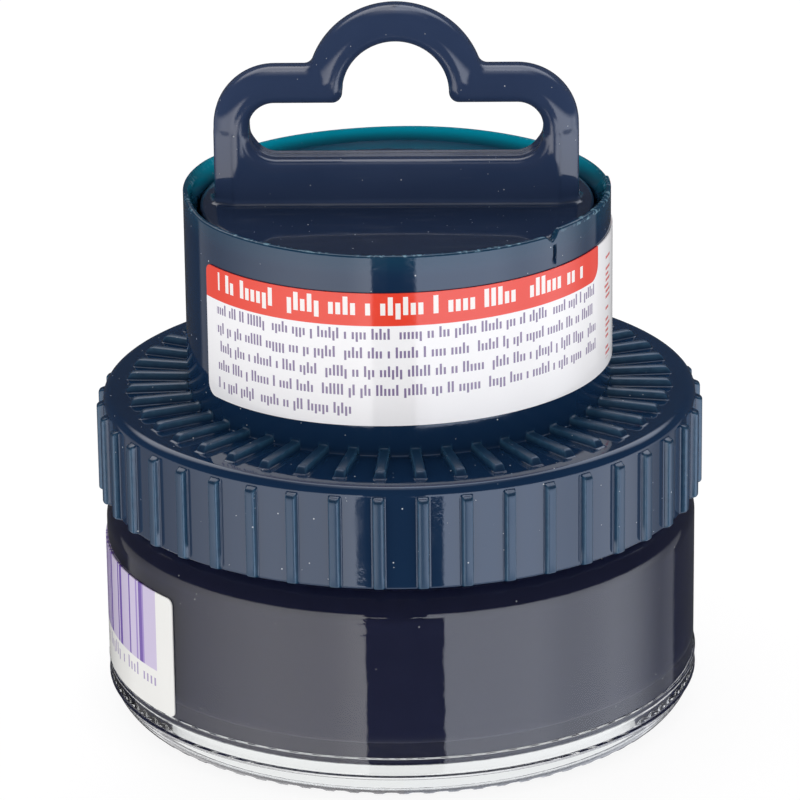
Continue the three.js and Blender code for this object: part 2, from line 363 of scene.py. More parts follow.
class Look:
    """A node-based material under construction, with its places in millimetres."""

    def __init__(self, name):
        self.material = bpy.data.materials.new(name)
        self.material.use_nodes = True
        self.tree = self.material.node_tree
        self.shader = self.tree.nodes["Principled BSDF"]
        self.end = self.tree.nodes["Material Output"]
        self.place = self.scaled(self.output("ShaderNodeTexCoord", "Object"), 1 / MM)
        split = self.node("ShaderNodeSeparateXYZ", {0: self.place})
        self.x, self.y, self.z = (Field(self.tree, out) for out in split.outputs)

    def node(self, kind, values=None, **settings):
        node = self.tree.nodes.new(kind)
        for key, value in settings.items():
            setattr(node, key, value)
        feed(self.tree, node.inputs, values or {})
        return node

    def output(self, kind, name, values=None, **settings):
        return Field(self.tree, self.node(kind, values, **settings).outputs[name])

    def scaled(self, vector, amount):
        """A vector times a number, a tuple of three or another vector."""
        factors = amount if isinstance(amount, (tuple, Field)) else (amount,) * 3
        return self.output(
            "ShaderNodeVectorMath", 0, {0: vector, 1: factors}, operation="MULTIPLY"
        )

    def noise(self, size, detail=2.0, vector=None):
        """Noise between 0 and 1 whose blobs are about `size` millimetres."""
        values = {"Vector": vector or self.place, "Scale": 1 / size, "Detail": detail}
        return self.output("ShaderNodeTexNoise", 0, values)

    def specks(self, spacing, size, share):
        """1 on round specks of dust that fill a share of the cells of a grid."""
        values = {"Vector": self.place, "Scale": 1 / spacing}
        cells = self.node("ShaderNodeTexVoronoi", values)
        chance = self.output("ShaderNodeSeparateColor", 0, {0: Field(self.tree, cells.outputs[1])})
        spot = Field(self.tree, cells.outputs["Distance"]).rise(size / spacing, size / spacing / 2)
        return spot * chance.below(share)

    def random(self, *cells):
        """A random number between 0 and 1 for a cell, given by whole numbers."""
        place = self.node("ShaderNodeCombineXYZ", dict(enumerate(cells)))
        return self.output(
            "ShaderNodeTexWhiteNoise", 0, {0: Field(self.tree, place.outputs[0])}
        )

    def bump(self, height, distance, normal=None):
        """A normal from a height between 0 and 1 that stands for `distance` millimetres."""
        values = {"Strength": 1.0, "Distance": distance * MM, "Height": height}
        if normal:
            values["Normal"] = normal
        return self.output("ShaderNodeBump", 0, values)

    def set(self, **values):
        """Feeds the Principled shader; an underscore in a name stands for a space."""
        named = {key.replace("_", " "): value for key, value in values.items()}
        feed(self.tree, self.shader.inputs, named)
        return self.material


# ------------------------------------------------------------------ materials

DUST = (0.62, 0.66, 0.70)


def cap_plastic():
    """Dark teal moulding: glossy walls, rougher ribs with painted highlights along their edges, and
    a thin rim that glows by translucence and by painted light.
    """
    look = Look("cap_plastic")
    relief = look.output("ShaderNodeAttribute", "Fac", attribute_name="relief")
    edge = look.output("ShaderNodeAttribute", "Fac", attribute_name="edge")
    cloud = look.noise(9.0, 3)
    grain = look.noise(0.45, 2)
    deep = cloud.mix((0.0058, 0.0215, 0.060), (0.0078, 0.028, 0.071))
    ribbed = (relief * 0.75).mix(deep, (0.0095, 0.038, 0.080))
    # Painted highlight: the rib edges are lightened along their length, broken up by noise.
    glinting = (edge * (0.15 + 0.9 * look.noise(0.8, 3))).mix(ribbed, (0.040, 0.115, 0.20))
    # Painted highlight: a broken line of light along the top edge of the rim; bitten is its pattern.
    bitten = look.noise(0.5, 3).rise(0.53, 0.63) * look.noise(6.0, 2).rise(0.38, 0.52)
    rim_glints = look.z.rise(RIM - 0.12, RIM - 0.02) * bitten
    # Painted light: the cup's wall turns a lighter teal towards its rim, as if light were shining
    # through the thin plastic there.
    lip = (look.z.rise(RIM - 2.6, RIM - 0.2) * 0.5).mix(glinting, (0.010, 0.060, 0.115))
    lit = (rim_glints * 0.8).mix(lip, (0.20, 0.38, 0.48))
    dust = look.specks(1.5, 0.10, 0.5).most(look.specks(0.9, 0.06, 0.25))
    colour = dust.mix(lit, DUST)
    scuff = look.noise(1.6, 5, look.scaled(look.place, (1.0, 1.0, 0.35)))
    roughness = 0.045 + 0.05 * scuff.rise(0.45, 0.75) + 0.26 * relief + 0.4 * dust
    normal = look.bump(0.7 * grain + 2.0 * look.noise(3.5, 1), 0.0035)
    look.set(
        Base_Color=colour,
        Roughness=roughness,
        IOR=1.5,
        Specular_Tint=(0.92, 1.0, 1.12),
        Normal=normal,
    )
    through = look.node("ShaderNodeBsdfTranslucent", {0: (0.0, 0.68, 0.80)})
    # The rim lets light through, more so towards its top. The larger share at the back, where the
    # rim stands against the light, is painted light on top of the real translucence.
    thin = look.z.rise(RIM - 1.8, RIM - 0.3) * (0.06 + 0.68 * look.y.rise(-6.0, 14.0))
    blend = look.node("ShaderNodeMixShader", {0: thin})
    look.tree.links.new(look.shader.outputs[0], blend.inputs[1])
    look.tree.links.new(through.outputs[0], blend.inputs[2])
    look.tree.links.new(blend.outputs[0], look.end.inputs[0])
    return look.material


def handle_plastic():
    """Navy moulding, polished, with fine scratches, dust and softened inner corners, and painted
    shade on the plug's top face.
    """
    look = Look("handle_plastic")
    cloud = look.noise(7.0, 3)
    base = cloud.mix((0.0250, 0.0435, 0.100), (0.0350, 0.0580, 0.125))
    dust = look.specks(1.5, 0.09, 0.5).most(look.specks(0.9, 0.055, 0.35))
    scratch = look.noise(0.5, 2, look.scaled(look.place, (0.12, 1.0, 2.2))).rise(0.70, 0.78)
    # Painted shade: the plug's top face is coloured darker than the rest of the moulding.
    floor = look.z.rise(PLUG_TOP + 0.4, PLUG_TOP + 0.1)
    streak = look.noise(0.9, 4, look.scaled(look.place, (0.14, 1.0, 1.0))).rise(0.50, 0.74)
    rub = look.noise(2.5, 4).rise(0.5, 0.8)
    shaded_floor = (floor * 0.65).mix(base, (0.008, 0.016, 0.038))
    roughness = 0.055 + 0.06 * rub + 0.10 * scratch + 0.4 * dust
    film = (floor * streak * 0.10).mix(shaded_floor, (0.16, 0.19, 0.24))
    soft = look.output("ShaderNodeBevel", 0, {"Radius": 0.45 * MM}, samples=6)
    normal = look.bump(look.noise(2.8, 1) * 2.0 + look.noise(0.5, 2) * 0.5, 0.003, soft)
    return look.set(
        Base_Color=(dust * 0.8).mix((scratch * 0.15).mix(film, (0.12, 0.14, 0.18)), DUST),
        Roughness=roughness,
        IOR=1.5,
        Normal=normal,
    )


def glass():
    """Clear pressed glass, with the faint unevenness of a moulded wall."""
    look = Look("glass")
    wave = look.noise(5.0, 1) * 1.5 + look.noise(0.9, 2) * 0.8
    dust = look.specks(1.6, 0.08, 0.5) * look.z.above(PANEL_BOTTOM)
    return look.set(
        Base_Color=dust.mix((0.885, 0.905, 0.90), DUST),
        Roughness=0.4 * dust,
        IOR=1.5,
        Transmission_Weight=1.0 - dust * 0.7,
        Normal=look.bump(wave, 0.006),
    )


def cream():
    """Dark navy wax: satin on its open face, wetted out where it meets the glass."""
    look = Look("cream")
    cloud = look.noise(4.0, 5)
    streak = look.noise(1.1, 4, look.scaled(look.place, (1.0, 1.0, 0.4)))
    base = cloud.mix((0.0195, 0.0240, 0.068), (0.0265, 0.0310, 0.083))
    bloom = streak.rise(0.66, 0.80) * 0.25
    free = look.z.rise(CREAM_HIGH.z - 0.7, CREAM_HIGH.z - 0.4)
    return look.set(
        Base_Color=bloom.mix(base, (0.05, 0.055, 0.09)),
        Roughness=0.34 + 0.2 * streak,
        Specular_IOR_Level=0.04 + 0.46 * free,
        Normal=look.bump(streak * (0.04 + 0.96 * free), 0.05),
    )


def words(look, along, up, line_height, pitch, weight, seed):
    """Greeked print: rows of upright hatch strokes of uneven height, grouped like words. The
    strokes make no letters. `weight` is a stroke's width as a share of the pitch."""
    row = (up / line_height).floor()
    in_row = (up / line_height).fraction()
    cell = (along / pitch).floor()
    stroke = ((along / pitch).fraction() - 0.5).abs().below(weight / 2)
    shift = look.random(row, seed, 2.0)
    short_word = (cell / 7.0 + shift).fraction().above(0.14)
    long_word = (cell / 11.0 + shift).fraction().above(0.09)
    tall = look.random(cell, row, seed)
    low = 0.24 - 0.13 * tall.below(0.14)
    high = 0.62 + 0.20 * tall.above(0.66)
    return in_row.within(low, high) * short_word * long_word * stroke


def around(look, radius):
    """Distance along a wall, in millimetres from the front, growing towards +X."""
    return look.x.math("ARCTAN2", look.y * -1.0) * radius


def paper(look, print_colour, gloss=0.06):
    """Coated label paper that carries the print. It glows a little: painted light that keeps it
    white where shade falls on it.
    """
    fibre = look.noise(0.35, 4)
    shade = look.noise(6.0, 2)
    soft = 0.94 + 0.05 * shade + 0.02 * fibre
    grey = look.output("ShaderNodeCombineXYZ", 0, {0: soft, 1: soft, 2: soft})
    return look.set(
        Base_Color=look.scaled(print_colour, grey),
        Roughness=gloss + 0.05 * fibre,
        IOR=1.45,
        # Painted light: the paper glows faintly in its own printed colours.
        Emission_Color=print_colour,
        Emission_Strength=0.11,
        Normal=look.bump(fibre * 0.4 + shade * 2.0, 0.004),
    )


def cup_paper():
    """White label with two like panels, in front and behind: a red band on top and five rows
    of greeked print under it."""
    look = Look("cup_paper")
    degree = math.radians(1) * CUP
    turn = around(look, CUP) / degree
    turn = turn + 360.0 * turn.below(-90.0)
    along = (turn - PANEL_STEP * turn.above(PANEL_END)) * degree
    up = look.z - label_bottom(look.x / CUP, look.y / CUP)

    band_end = 66.5 * degree
    corner = 1.6
    dx = (along - (band_end - corner)).most(0.0)
    dz = ((BAND_BOTTOM + corner) - up).most(0.0)
    rounded = (dx * dx + dz * dz).math("SQRT").rise(corner + 0.04, corner - 0.04)
    band = rounded * up.above(BAND_BOTTOM)

    height = (up - BAND_BOTTOM - 0.35) * 0.82
    title = words(look, turn * degree + 0.4, height, 2.65, pitch=0.74, weight=0.66, seed=7.0)
    title = title * along.within(-55.0 * degree, 58.0 * degree)
    title = title * up.within(BAND_BOTTOM + 0.2, BAND_BOTTOM + 3.4)

    first_line, line_height, line_count = 0.75, 1.95, 5
    height = up - first_line
    text = words(look, turn * degree, height, line_height, pitch=0.39, weight=0.58, seed=3.0)
    text = text * along.within(-56.0 * degree, 65.0 * degree)
    text = text * up.within(first_line, first_line + line_count * line_height)
    short_last_line = up.below(first_line + line_height) * along.above(-12.5 * degree)
    text = text * (1.0 - short_last_line)

    side_start = 71.0 * degree
    side = words(look, up + 3.0, along - side_start, 3.2, pitch=0.6, weight=0.5, seed=11.0)
    side = side * along.within(side_start, 80.0 * degree) * up.within(1.0, 12.5)

    colour = (text * 0.9).mix((0.93, 0.93, 0.945), (0.16, 0.105, 0.26))
    colour = band.mix(colour, (0.82, 0.058, 0.030))
    colour = (band * title).mix(colour, (0.92, 0.88, 0.86))
    colour = (side * 0.8).mix(colour, (0.70, 0.06, 0.05))
    return paper(look, colour)


def jar_paper():
    """White label with a generic pattern of upright bars on a lilac ground."""
    look = Look("jar_paper")
    along = around(look, PANEL_RADIUS)
    up = look.z
    right = -54.3 * math.radians(1) * PANEL_RADIUS
    module = 0.34
    bars_bottom = 9.1
    line_bottom, line_top = bars_bottom - 2.3, bars_bottom - 0.2
    cell = ((right - along) / module).floor()
    dark = look.random(cell, 5.0, 1.0).above(0.40)
    strong = look.random(cell, 9.0, 1.0).above(0.40)
    printed = along.below(right) * up.above(bars_bottom)
    marks = words(look, along, up - line_bottom, 2.3, pitch=0.72, weight=0.42, seed=5.0)
    marks = marks * up.within(line_bottom, line_top) * along.below(right)
    colour = (printed * 0.85).mix((0.84, 0.84, 0.81), (0.56, 0.48, 0.70))
    ink = (strong * 0.85).mix((0.34, 0.25, 0.56), (0.145, 0.075, 0.36))
    colour = (dark * printed * along.below(right - 0.8)).mix(colour, ink)
    colour = (marks * 0.8).mix(colour, (0.28, 0.20, 0.45))
    return paper(look, colour, 0.10)


def foam_liner():
    """White expanded polyethylene: fine closed cells under a matte skin."""
    look = Look("foam_liner")
    cells = look.output("ShaderNodeTexVoronoi", "Distance", {"Vector": look.place, "Scale": 2.2})
    stain = look.noise(3.0, 5).rise(0.62, 0.78)
    return look.set(
        Base_Color=(stain * 0.5).mix((0.80, 0.80, 0.76), (0.12, 0.13, 0.22)),
        Roughness=0.7,
        Normal=look.bump(cells, 0.12),
    )


def tape():
    """Off-white foam tape with a papery edge."""
    look = Look("tape")
    fibre = look.noise(0.4, 5)
    return look.set(
        Base_Color=fibre.mix((0.74, 0.72, 0.64), (0.88, 0.87, 0.80)),
        Roughness=0.65 + 0.2 * fibre,
        Normal=look.bump(fibre, 0.05),
    )


def foam():
    """Dark open-cell foam, inked darker where it has touched the cream."""
    look = Look("foam")
    values = {"Vector": look.place, "Scale": 1 / 0.55}
    cell = look.output("ShaderNodeTexVoronoi", "Distance", values, feature="DISTANCE_TO_EDGE")
    pore = cell.rise(0.02, 0.30)
    fine = look.noise(0.25, 4)
    wet = look.z.rise(SPONGE_LOW.z + 3.2, SPONGE_LOW.z + 0.6)
    strut = fine.mix((0.050, 0.050, 0.058), (0.085, 0.085, 0.095))
    # Painted shade: the open cells are coloured near black inside, and the struts between them are
    # lighter.
    dry = pore.mix(strut, (0.010, 0.010, 0.013))
    return look.set(
        Base_Color=(wet * 0.8).mix(dry, (0.010, 0.012, 0.030)),
        Roughness=0.92 - 0.45 * wet,
        Normal=look.bump(pore * -1.0 + fine * 0.2 + 1.0, 0.35),
    )


# ------------------------------------------------------------------ the glass jar and its fill

def glass_profile():
    """The glass, from the middle of its base up the outside, over the mouth and down inside."""
    inside = JAR_RADIUS - JAR_WALL
    mouth = JAR_HIGH.z
    outside = rounded_line([
        (0, PUSH_UP),
        (FOOT_INNER - PUSH_UP_DRAFT, PUSH_UP, 0.5),
        (FOOT_INNER, 0, 0.35),
        (FOOT_OUTER, 0, FOOT_ROUND),
        (JAR_RADIUS - HEEL_LEAN, HEEL_HEIGHT, HEEL_ROUND),
        (JAR_RADIUS, PANEL_BOTTOM, 0.06),
        (PANEL_RADIUS, PANEL_BOTTOM, 0.04),
        (PANEL_RADIUS, GLASS_SHOULDER - GLASS_SHOULDER_ROUND - 0.03),
        (PANEL_RADIUS, GLASS_SHOULDER, GLASS_SHOULDER_ROUND),
        (NECK, GLASS_SHOULDER, 0.1),
        (NECK, mouth - 0.8),
    ], step=2)
    over = rounded_line([
        (NECK, mouth - 0.8),
        (NECK, mouth, 0.75),
        (THROAT, mouth, 0.75),
        (THROAT, GLASS_SHOULDER - THROAT_SLOPE[0], 1),
        (inside, GLASS_SHOULDER - THROAT_SLOPE[1], 1),
        (inside, JAR_FLOOR, JAR_FLOOR_ROUND),
        (0, JAR_FLOOR),
    ], step=8)
    return np.concatenate([outside[:-1], over])


def build_jar():
    """The mould leaves a fine seam round the heel and a knurled foot."""
    angle = azimuths(JAR_COLUMNS)
    rows = []
    for radius, height in subdivided(glass_profile(), 0.9):
        if radius < HAIR:
            rows.append(ring(0, height, angle))
            continue
        on_neck = abs(radius - NECK) < 1e-3
        if on_neck:
            for level in np.arange(rows[-1][0][2] + 0.2, height, 0.2):
                bulge = thread_relief(angle, level, JAR_THREAD) * THREAD_DEPTH
                rows.append(ring(radius + bulge, level, angle))
        bulge = thread_relief(angle, height, JAR_THREAD) * THREAD_DEPTH if on_neck else 0
        foot = smooth(radius, FOOT_INNER + 0.3, FOOT_INNER + 0.9)
        foot *= 1 - smooth(radius, FOOT_OUTER - 0.4, FOOT_OUTER + 0.6)
        foot *= height < 1.0
        lift = KNURL_DEPTH * foot * (1 - smooth(np.cos(angle * FOOT_KNURLS), -0.35, 0.35))
        if radius > FOOT_OUTER:
            bulge = SEAM_BULGE * math.exp(-(((height - SEAM) / SEAM_WIDTH) ** 2))
        rows.append(ring(radius + bulge, height + lift, angle))
    piece = new_piece("glass_jar_shell", *skin(rows), sharp=50)
    return place(piece, glass(), "jar", "glass_jar", "glass")


def build_cream():
    """The fill wets the glass, so its outside lies a hair inside the glass and no film of air
    shows between them. Its open face keeps the swirl of the filling nozzle."""
    wet = 0.03
    radius = JAR_RADIUS - JAR_WALL + wet
    throat = THROAT + wet
    level = CREAM_HIGH.z
    profile = rounded_line([
        (0, JAR_FLOOR - wet),
        (radius, JAR_FLOOR - wet, JAR_FLOOR_ROUND),
        (radius, GLASS_SHOULDER - THROAT_SLOPE[1] + wet, 1),
        (throat, GLASS_SHOULDER - THROAT_SLOPE[0] + wet, 1),
        (throat, level - 0.05, 0.3),
        (throat - 1.4, level - 0.45, 0.8),
        (0, level - 0.45),
    ])
    angle = azimuths(240)
    rows = []
    for r, z in subdivided(profile, 0.8):
        if r < HAIR:
            rows.append(ring(0, z, angle))
            continue
        open_face = z > level - 0.5 and r < throat - 1.3
        swirl = 0.0
        if open_face:
            fade = smooth(throat - r, 1.4, 4.0) * smooth(r, 0.3, 3.0)
            spiral = 0.22 * np.sin(3 * angle + r * 1.15)
            rings = 0.10 * np.sin(r * 1.9)
            swirl = (spiral + rings) * fade
        rows.append(ring(r, z + swirl, angle))
    piece = new_piece("cream_fill", *skin(rows))
    return place(piece, cream(), "jar", "shoe_cream", "cream")


# ------------------------------------------------------------------ labels

LABEL_TILT = {"middle": 36.58, "front": 0.13, "right": 0.36}
LABEL_HEIGHT = 13.77
BAND_BOTTOM = 10.4
PANEL_STEP = 165.0
PANEL_END = 98.0


def label_bottom(x, y):
    """Height of the crooked cup label's lower edge, where x and y lie on a unit circle."""
    return LABEL_TILT["front"] * (y * -1.0) + LABEL_TILT["right"] * x + LABEL_TILT["middle"]


def label_sheet(name, radius, first, last, height, corners, bottom_of):
    """A thin label with rounded corners on a turned wall. Azimuths are in degrees, and corners
    holds the radii of the lower and upper corners."""
    inner = radius + LABEL_GAP
    length = math.radians(last - first) * radius
    ends = max(corners)
    near = ends * (1 - np.cos(np.linspace(0, math.pi / 2, 9)))
    middle = np.linspace(ends, length - ends, 160)[1:-1]
    along = np.concatenate([near, middle, (length - near)[::-1]])
    distance = np.minimum(along, length - along)

    def inset(corner):
        reach = np.clip(corner - distance, 0, corner)
        return corner - np.sqrt(corner**2 - reach**2)

    angle = math.radians(first) + along / radius
    bottom = bottom_of(np.sin(angle), -np.cos(angle))
    low = bottom + inset(corners[0])
    high = bottom + height - inset(corners[1])
    steps = np.linspace(0, 1, 13)
    outer = [ring(inner + LABEL_THICKNESS, low + (high - low) * t, angle) for t in steps]
    under = [ring(inner, low + (high - low) * t, angle) for t in steps[::-1]]
    verts, faces = skin(outer + under, around=False)
    count, last_row = len(along), 2 * len(steps) - 1

    def corner_of(row, column):
        return row * count + column

    for j in range(count - 1):
        low_edge = [corner_of(0, j), corner_of(0, j + 1)]
        faces.append((*low_edge, corner_of(last_row, j + 1), corner_of(last_row, j)))
    for j in (0, count - 1):
        for k in range(len(steps) - 1):
            front = [corner_of(k, j), corner_of(k + 1, j)]
            behind = [corner_of(last_row - k - 1, j), corner_of(last_row - k, j)]
            faces.append((*front, *behind))
    return new_piece(name, verts, faces)


def build_cup_label():
    piece = label_sheet(
        "cup_label_sheet", CUP, *CUP_LABEL_ENDS, LABEL_HEIGHT, (1.3, 0.8), label_bottom
    )
    return place(piece, cup_paper(), "cap", "cup_label", "cup_paper")


def build_jar_label():
    bottom = JAR_LABEL_LOW.z - 0.1
    height = JAR_LABEL_HIGH.z - bottom

    def level_bottom(x, y):
        return bottom + 0 * x

    piece = label_sheet(
        "jar_label_sheet", PANEL_RADIUS, *JAR_LABEL_ENDS, height, (0.7, 0.7), level_bottom
    )
    return place(piece, jar_paper(), "jar", "jar_label", "jar_paper")


# ------------------------------------------------------------------ the cap

# Half of a rib's section: place across it as a share of its half width, its height as a share
# of the full height, and how strongly the painted highlight on its edge shows there.
RIB_SECTION = (
    (0.00, 1.00, 0.0),
    (0.45, 0.985, 0.0),
    (0.66, 0.94, 0.25),
    (0.80, 0.84, 1.0),
    (0.90, 0.62, 0.9),
    (1.00, 0.16, 0.1),
    (1.10, 0.03, 0.0),
    (1.24, 0.00, 0.0),
)
GAP_SHARES = (0.04, 0.35, 0.70)


def rib_columns():
    """For each column of one rib pitch: place across the rib, share of the gap, height, painted edge
    highlight.
    """
    right = [(across, 0.0, height, edge_glint) for across, height, edge_glint in RIB_SECTION]
    gap = [(RIB_SECTION[-1][0], share, 0.0, 0.0) for share in GAP_SHARES]
    half = right + gap
    left = [(-across, -share, height, edge_glint) for across, share, height, edge_glint in half[:0:-1]]
    middle = [(RIB_SECTION[-1][0], 1.0, 0.0, 0.0)]
    return np.array(left + half + middle)


def column_angles(columns, radius, half_width):
    """Azimuths of all the columns at a radius, so that ribs keep their width in millimetres."""
    pitch = TURN / RIB_COUNT
    rib = columns[:, 0] * half_width / radius
    reach = RIB_SECTION[-1][0] * half_width / radius
    one = rib + columns[:, 1] * (pitch / 2 - reach)
    centres = (np.arange(RIB_COUNT) + 0.5) * pitch
    return (centres[:, None] + one[None, :]).ravel()


def rim_damage(angle):
    """How far the cup's rim is raised (+) or bitten off (-) by its crack, at each azimuth."""
    degrees = np.degrees((angle + math.pi) % TURN - math.pi)
    raised = 0.42 * smooth(degrees, 46.5, 47.5) * (1 - smooth(degrees, 96, 98))
    sprung = 0.45 * smooth(degrees, -140, -112) * (1 - smooth(degrees, -88, -62))
    notch = -0.75 * np.clip(1 - np.abs(degrees - NOTCH_AZIMUTH) / 2.2, 0, 1)
    wave = 0.04 * np.sin(3 * angle + 1.0) + 0.02 * np.sin(7 * angle)
    return raised + sprung + notch + wave


def crack_depth(angle, height):
    """Depth of the slit that runs down from the notch in the rim."""
    degrees = np.degrees((angle + math.pi) % TURN - math.pi)
    across = np.clip(1 - np.abs(degrees - SLIT_AZIMUTH) / 0.55, 0, 1)
    lower_end = smooth(height, RIM - 3.0, RIM - 2.6)
    upper_end = 1 - smooth(height, RIM - 1.3, RIM - 1.1)
    return 0.9 * across * lower_end * upper_end


def build_cap():
    """One sheet of rows: the underside and thread, the skirt, the shoulder, the cup, over its
    rim and down the well. Plain levels on straight walls only set how finely they are cut."""
    columns = rib_columns()
    # How much painted highlight each column's rib edge carries.
    shape = np.tile(columns[:, 2], RIB_COUNT)
    edge_glint = np.tile(columns[:, 3], RIB_COUNT)
    rows, relief, edge = [], [], []

    def add(radius, height, side=0.0, top=0.0, half_width=SIDE_RIB_HALF, inwards=None, lift=None):
        """One row of the cap, with the ribs' relief outwards (side) or upwards (top), set in by
        inwards(angle, height) or raised by lift(angle)."""
        if radius < HAIR:
            rows.append(ring(0, height, None))
            relief.append([0.0])
            edge.append([0.0])
            return
        angle = column_angles(columns, radius, half_width)
        r = radius + side * shape
        z = height + top * shape
        if inwards:
            r = r - inwards(angle, height)
        if lift:
            z = z + lift(angle)
        rows.append(ring(r, z, angle))
        strength = max(side / SIDE_RIB, top / TOP_RIB)
        relief.append(shape * min(1, strength))
        edge.append(edge_glint * min(1, strength))

    def add_top(radius, up=0.0, share=1.0):
        """One row across the ribs on the shoulder."""
        add(radius, SHOULDER + up, top=share * TOP_RIB, half_width=TOP_RIB_HALF)

    def thread(angle, height):
        return thread_relief(angle, height, CAP_THREAD) * THREAD_DEPTH

    for radius in (0, 10, 20, 26, BORE - 0.3):
        add(radius, UNDERSIDE)
    for height in np.arange(UNDERSIDE - 0.3, CAP_LOW.z + 0.35, -0.22):
        add(BORE, height, inwards=thread)
    add(BORE + 0.05, CAP_LOW.z + 0.15)
    add(BORE + 0.2, CAP_LOW.z)
    add(SKIRT - 0.35, CAP_LOW.z)
    for inset, up, share in (
        (0.1, 0.02, 0.0),
        (0.04, 0.08, 0.15),
        (0.01, 0.16, 0.55),
        (0.0, 0.24, 0.85),
        (0.0, 0.34, 0.97),
    ):
        add(SKIRT - inset, CAP_LOW.z + up, side=share * SIDE_RIB)
    for height in (23.2, 24.5, 26.5, 28.5, 30.5, 31.6, 31.95):
        add(SKIRT, height, side=SIDE_RIB)
    for down, share in ((0.35, 0.94), (0.23, 0.78), (0.13, 0.4), (0.05, 0.08), (0.0, 0.0)):
        add(SKIRT, SIDE_RIB_TOP - down, side=share * SIDE_RIB)
    edge_arc = rounded_line(
        [(SKIRT, 32.2), (SKIRT, SHOULDER, SHOULDER_EDGE - 0.15), (CUP, SHOULDER)], step=9
    )[1:-1]
    for radius, height in edge_arc:
        if height > SIDE_RIB_TOP + 0.01:
            add(radius, height)
    for inset, share in ((-0.45, 0), (0, 0), (0.08, 0.1), (0.17, 0.4), (0.35, 0.78), (0.6, 0.96)):
        add_top(TOP_RIB_END - inset, share=share)
    for radius in (27.1, 26, 25, 24, 23, 22.4, 22.0):
        add_top(radius)
    add_top(CUP + 0.12, up=0.04)
    add_top(CUP + 0.03, up=0.14)
    add_top(CUP, up=0.35, share=0.6)
    for height in (34.6, 36, 38, 42, 46, 50, 51.0):
        add(CUP, height)
    for height in (51.3, 51.7, 52.1, 52.5, 52.8, 52.95, 53.1):
        add(CUP, height, inwards=crack_depth)
    add(CUP, 53.5, lift=lambda angle: 0.5 * rim_damage(angle))
    lip = [
        (CUP, RIM - 0.6),
        (CUP, RIM - 0.23),
        (CUP, RIM, 0.2),
        (LIP, RIM, 0.1),
        (WELL, TAPER_BOTTOM, 0.6),
        (WELL, 51),
    ]
    for radius, height in subdivided(rounded_line(lip, step=15)[1:-1], 0.4):
        share = smooth(height, TAPER_BOTTOM, RIM - 0.4)
        add(radius, height, lift=lambda angle: share * rim_damage(angle))
    for height in (52.0, 51, 49, REST_RIB_TOP + 0.15):
        add(WELL, height)

    def rest_rib(angle, height):
        phase = (angle * REST_RIBS / TURN + 0.5) % 1 - 0.5
        across = np.abs(phase) * TURN / REST_RIBS * WELL
        return REST_RIB * (1 - smooth(across, 0.45, 0.75))

    for height in (REST_RIB_TOP, REST_RIB_TOP - 0.1, 45, 42, 39, 36.5):
        add(WELL, height, inwards=rest_rib)
    for radius, height in rounded_line(
        [(WELL, 36), (WELL, SHOULDER, 1.0), (0, SHOULDER)], step=18
    )[1:-1]:
        add(radius, height)
    for radius in (17, 12, 6, 0):
        add(radius, SHOULDER)
    piece = new_piece(
        "cap_shell",
        *skin(rows),
        sharp=60,
        attributes={"relief": np.concatenate(relief), "edge": np.concatenate(edge)},
    )
    return place(piece, cap_plastic(), "cap", "screw_cap", "cap_plastic")


def build_liner():
    """A punched disc with the ring that the glass mouth has pressed into it."""
    low, high, radius = LINER_LOW.z, LINER_HIGH.z, LINER_HIGH.x
    mouth = (NECK + THROAT) / 2
    profile = [(0, low)]
    for r in np.arange(1, radius - 0.2, 0.5):
        profile.append((r, low + 0.04 * math.exp(-((r - mouth) / 0.9) ** 2)))
    profile += [(radius - 0.1, low + 0.02), (radius, low + 0.12), (radius, high - 0.12)]
    profile += [(radius - 0.12, high), (0, high)]
    piece = new_piece("liner_disc", *skin(lathe(profile, 180)))
    return place(piece, foam_liner(), "liner", "cap_liner", "liner")


# ------------------------------------------------------------------ the applicator

def arc(centre_x, centre_y, radius, first, last, steps):
    angle = np.linspace(first, last, steps + 1)
    return np.column_stack([centre_x + radius * np.cos(angle), centre_y + radius * np.sin(angle)])


def cloud_half(grow):
    """Right half of the cloud-shaped line, from the leg's foot to the top of the arch."""
    leg = HANDLE_HALF - BAR + grow
    shoulder = SHOULDER_TOP - BAR + grow
    corner = SHOULDER_CORNER - BAR + grow
    radius = ARCH_RADIUS - BAR + grow
    fillet_z = shoulder + FILLET
    reach = radius + FILLET
    fillet_x = math.sqrt(reach**2 - (fillet_z - ARCH_CENTRE) ** 2)
    meet = math.atan2(fillet_z - ARCH_CENTRE, fillet_x)
    leg_top = shoulder - corner
    levels = [PLUG_TOP - 0.6, 54, 56, 58, 60, WITNESS, leg_top - 0.1]
    return np.concatenate([
        [(leg, level) for level in levels],
        arc(leg - corner, shoulder - corner, corner, 0, math.pi / 2, 22),
        arc(fillet_x, fillet_z, FILLET, -math.pi / 2, meet - math.pi, 10),
        arc(0, ARCH_CENTRE, radius, meet, math.pi / 2, 30)[1:],
    ])


def both_halves(half):
    mirrored = half[::-1] * [-1, 1]
    return np.concatenate([half, mirrored[1:]])


